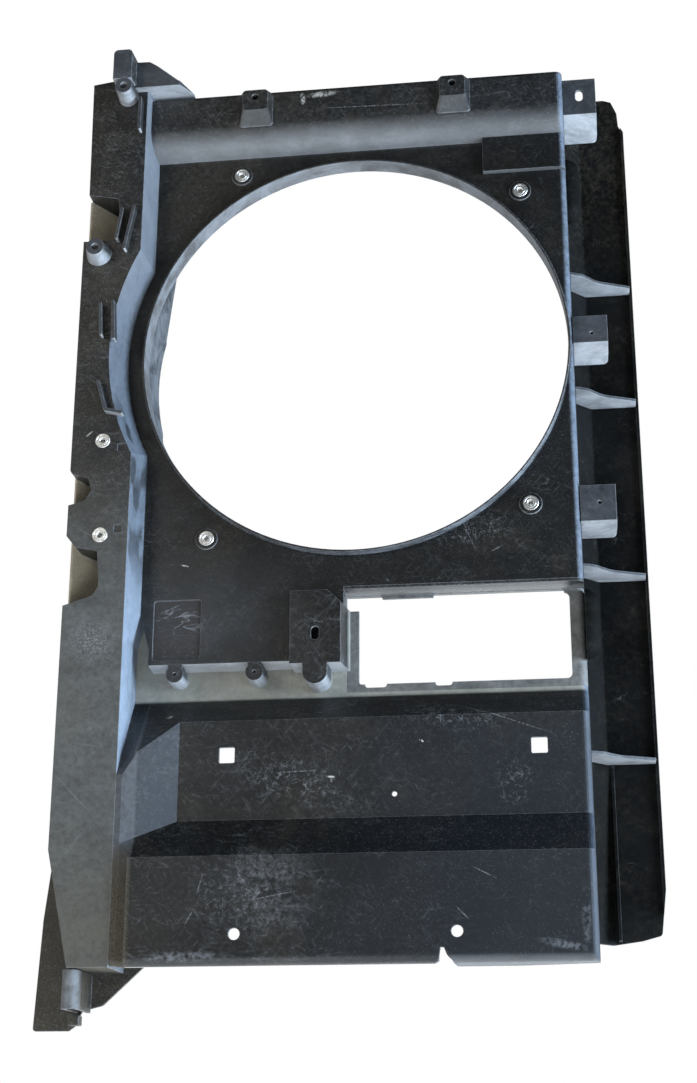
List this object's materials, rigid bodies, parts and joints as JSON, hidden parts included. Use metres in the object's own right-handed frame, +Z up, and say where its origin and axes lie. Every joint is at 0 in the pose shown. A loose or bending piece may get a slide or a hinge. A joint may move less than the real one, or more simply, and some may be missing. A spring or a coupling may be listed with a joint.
{
  "type": "radiator fan shroud",
  "caption": "Upright moulded radiator fan shroud with a round fan opening and collar, a rectangular duct opening, a stepped lower panel, a mounting rail and metal inserts.",
  "frame": {"origin": "centre of the fan opening at the panel's front face", "axes": "+Z up, +X to the right as seen from the engine, -Y towards the engine and +Y towards the radiator"},
  "size_m": [0.6114, 0.128, 1.0485],
  "materials": {
    "shroud_plastic": "fine matte moulded surface, dusty and lightly scratched",
    "insert_metal": "bright plated steel with turned rings"
  },
  "bodies": {
    "root": {"beam_tab_left": "shroud_plastic", "beam_tab_right": "shroud_plastic", "bracket_block": "shroud_plastic", "cable_clip_1": "shroud_plastic", "cable_clip_2": "shroud_plastic", "cable_clip_3": "shroud_plastic", "cable_clip_4": "shroud_plastic", "corner_bracket": "shroud_plastic", "corner_tab": "shroud_plastic", "duct_frame": "shroud_plastic", "fan_collar": "shroud_plastic", "fan_insert_1": "insert_metal", "fan_insert_2": "insert_metal", "fan_insert_3": "insert_metal", "fan_insert_4": "insert_metal", "fan_panel": "shroud_plastic", "foot_bracket": "shroud_plastic", "guide_rib": "shroud_plastic", "guide_tab_lower": "shroud_plastic", "guide_tab_upper": "shroud_plastic", "gusset_1": "shroud_plastic", "gusset_2": "shroud_plastic", "gusset_3": "shroud_plastic", "gusset_4": "shroud_plastic", "lower_panel": "shroud_plastic", "mounting_rail": "shroud_plastic", "pilot_boss_left": "shroud_plastic", "pilot_boss_right": "shroud_plastic", "post_lower": "shroud_plastic", "post_upper": "shroud_plastic", "rail_insert_1": "insert_metal", "rail_insert_2": "insert_metal", "raised_pad": "shroud_plastic", "side_guide": "shroud_plastic", "side_wall": "shroud_plastic", "top_beam": "shroud_plastic", "wall_boss_lower": "shroud_plastic", "wall_boss_upper": "shroud_plastic"}
  },
  "joints": []
}
